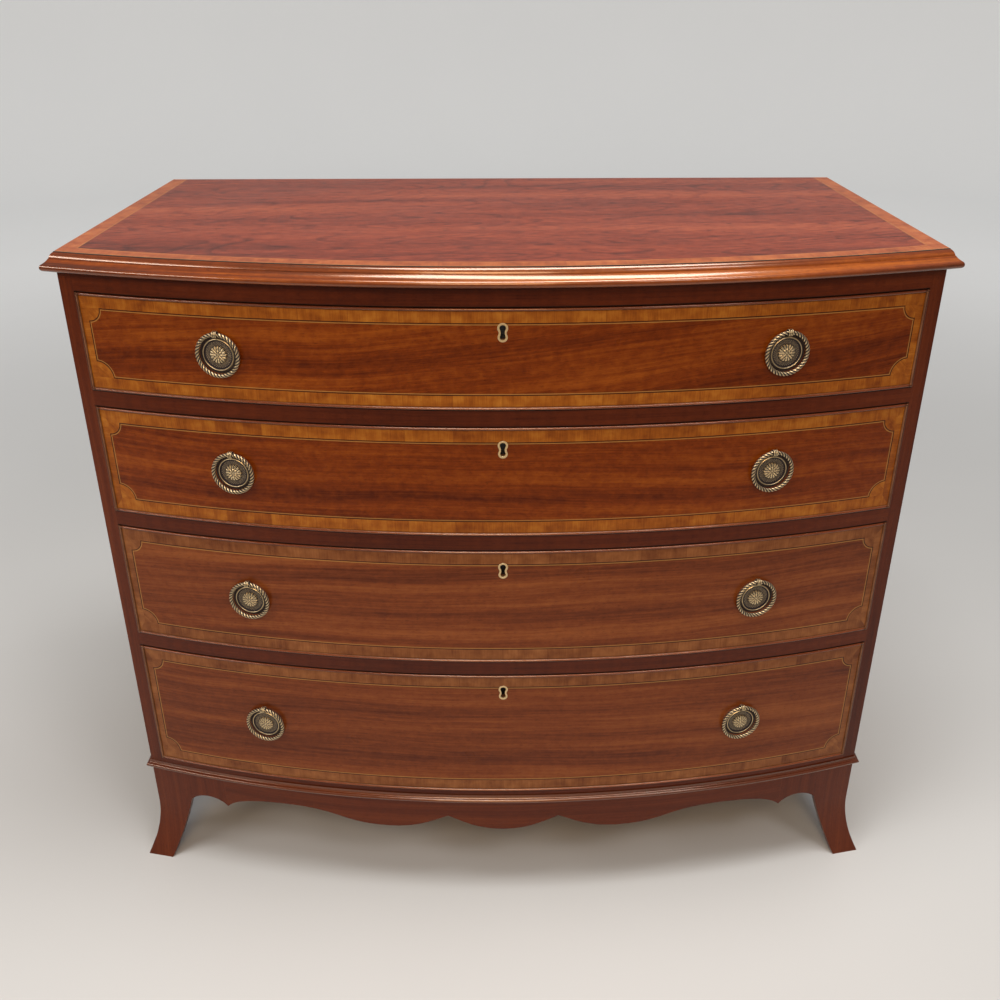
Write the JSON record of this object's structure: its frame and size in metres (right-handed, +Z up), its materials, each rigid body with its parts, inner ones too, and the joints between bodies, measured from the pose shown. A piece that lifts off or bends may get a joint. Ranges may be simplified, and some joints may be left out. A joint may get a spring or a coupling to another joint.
{
  "type": "chest of drawers",
  "caption": "Bow-fronted chest with graduated cock-beaded drawers, twisted brass ring pulls, a moulded top, a shaped apron and splayed bracket feet.",
  "frame": {"origin": "centre of the chest's footprint box, on the floor", "axes": "+X to the right across the front, +Y from the front to the back, +Z up"},
  "size_m": [1.094, 0.5949, 0.925],
  "materials": {
    "figured_mahogany": "French polished flame mahogany veneer with a paler crossbanding",
    "carcase_mahogany": "French polished straight-grained mahogany",
    "oak": "plain waxed oak",
    "pine": "plain aged pine",
    "brass": "aged brass, dark in its hollows",
    "steel": "dull aged steel"
  },
  "bodies": {
    "carcase": {"top_board": "figured_mahogany", "top_moulding": "carcase_mahogany", "side_panel_left": "carcase_mahogany", "side_panel_right": "carcase_mahogany", "back_panel": "pine", "top_rail": "carcase_mahogany", "drawer_divider_1": "carcase_mahogany", "drawer_divider_2": "carcase_mahogany", "drawer_divider_3": "carcase_mahogany", "bottom_board": "carcase_mahogany", "base_moulding": "carcase_mahogany", "front_apron": "carcase_mahogany", "front_foot_left": "carcase_mahogany", "front_foot_right": "carcase_mahogany", "side_skirt_left": "carcase_mahogany", "side_skirt_right": "carcase_mahogany"},
    "drawer_1": {"drawer_1_front": "figured_mahogany", "drawer_1_side_left": "oak", "drawer_1_side_right": "oak", "drawer_1_back": "oak", "drawer_1_bottom": "oak", "drawer_1_lock": "steel", "drawer_1_escutcheon": "brass", "drawer_1_handle_plate_left": "brass", "drawer_1_handle_plate_right": "brass"},
    "drawer_1_ring_left": {"drawer_1_ring_left": "brass"},
    "drawer_1_ring_right": {"drawer_1_ring_right": "brass"},
    "drawer_2": {"drawer_2_front": "figured_mahogany", "drawer_2_side_left": "oak", "drawer_2_side_right": "oak", "drawer_2_back": "oak", "drawer_2_bottom": "oak", "drawer_2_lock": "steel", "drawer_2_escutcheon": "brass", "drawer_2_handle_plate_left": "brass", "drawer_2_handle_plate_right": "brass"},
    "drawer_2_ring_left": {"drawer_2_ring_left": "brass"},
    "drawer_2_ring_right": {"drawer_2_ring_right": "brass"},
    "drawer_3": {"drawer_3_front": "figured_mahogany", "drawer_3_side_left": "oak", "drawer_3_side_right": "oak", "drawer_3_back": "oak", "drawer_3_bottom": "oak", "drawer_3_lock": "steel", "drawer_3_escutcheon": "brass", "drawer_3_handle_plate_left": "brass", "drawer_3_handle_plate_right": "brass"},
    "drawer_3_ring_left": {"drawer_3_ring_left": "brass"},
    "drawer_3_ring_right": {"drawer_3_ring_right": "brass"},
    "drawer_4": {"drawer_4_front": "figured_mahogany", "drawer_4_side_left": "oak", "drawer_4_side_right": "oak", "drawer_4_back": "oak", "drawer_4_bottom": "oak", "drawer_4_lock": "steel", "drawer_4_escutcheon": "brass", "drawer_4_handle_plate_left": "brass", "drawer_4_handle_plate_right": "brass"},
    "drawer_4_ring_left": {"drawer_4_ring_left": "brass"},
    "drawer_4_ring_right": {"drawer_4_ring_right": "brass"}
  },
  "joints": [
    {"name": "drawer_1_slide", "type": "slide", "parent": "carcase", "child": "drawer_1", "axis": [0, -1, 0], "range_m": [0, 0.36]},
    {"name": "drawer_1_ring_left_swing", "type": "hinge", "parent": "drawer_1", "child": "drawer_1_ring_left", "pos_m": [-0.32999, -0.25603, 0.84175], "axis": [-0.9818, 0.1902, 0], "range_deg": [0, 100]},
    {"name": "drawer_1_ring_right_swing", "type": "hinge", "parent": "drawer_1", "child": "drawer_1_ring_right", "pos_m": [0.32999, -0.25603, 0.84175], "axis": [-0.9818, -0.1902, 0], "range_deg": [0, 100]},
    {"name": "drawer_2_slide", "type": "slide", "parent": "carcase", "child": "drawer_2", "axis": [0, -1, 0], "range_m": [0, 0.36]},
    {"name": "drawer_2_ring_left_swing", "type": "hinge", "parent": "drawer_2", "child": "drawer_2_ring_left", "pos_m": [-0.32999, -0.25603, 0.691], "axis": [-0.9818, 0.1902, 0], "range_deg": [0, 100]},
    {"name": "drawer_2_ring_right_swing", "type": "hinge", "parent": "drawer_2", "child": "drawer_2_ring_right", "pos_m": [0.32999, -0.25603, 0.691], "axis": [-0.9818, -0.1902, 0], "range_deg": [0, 100]},
    {"name": "drawer_3_slide", "type": "slide", "parent": "carcase", "child": "drawer_3", "axis": [0, -1, 0], "range_m": [0, 0.36]},
    {"name": "drawer_3_ring_left_swing", "type": "hinge", "parent": "drawer_3", "child": "drawer_3_ring_left", "pos_m": [-0.32999, -0.25603, 0.50875], "axis": [-0.9818, 0.1902, 0], "range_deg": [0, 100]},
    {"name": "drawer_3_ring_right_swing", "type": "hinge", "parent": "drawer_3", "child": "drawer_3_ring_right", "pos_m": [0.32999, -0.25603, 0.50875], "axis": [-0.9818, -0.1902, 0], "range_deg": [0, 100]},
    {"name": "drawer_4_slide", "type": "slide", "parent": "carcase", "child": "drawer_4", "axis": [0, -1, 0], "range_m": [0, 0.36]},
    {"name": "drawer_4_ring_left_swing", "type": "hinge", "parent": "drawer_4", "child": "drawer_4_ring_left", "pos_m": [-0.32999, -0.25603, 0.307], "axis": [-0.9818, 0.1902, 0], "range_deg": [0, 100]},
    {"name": "drawer_4_ring_right_swing", "type": "hinge", "parent": "drawer_4", "child": "drawer_4_ring_right", "pos_m": [0.32999, -0.25603, 0.307], "axis": [-0.9818, -0.1902, 0], "range_deg": [0, 100]}
  ]
}
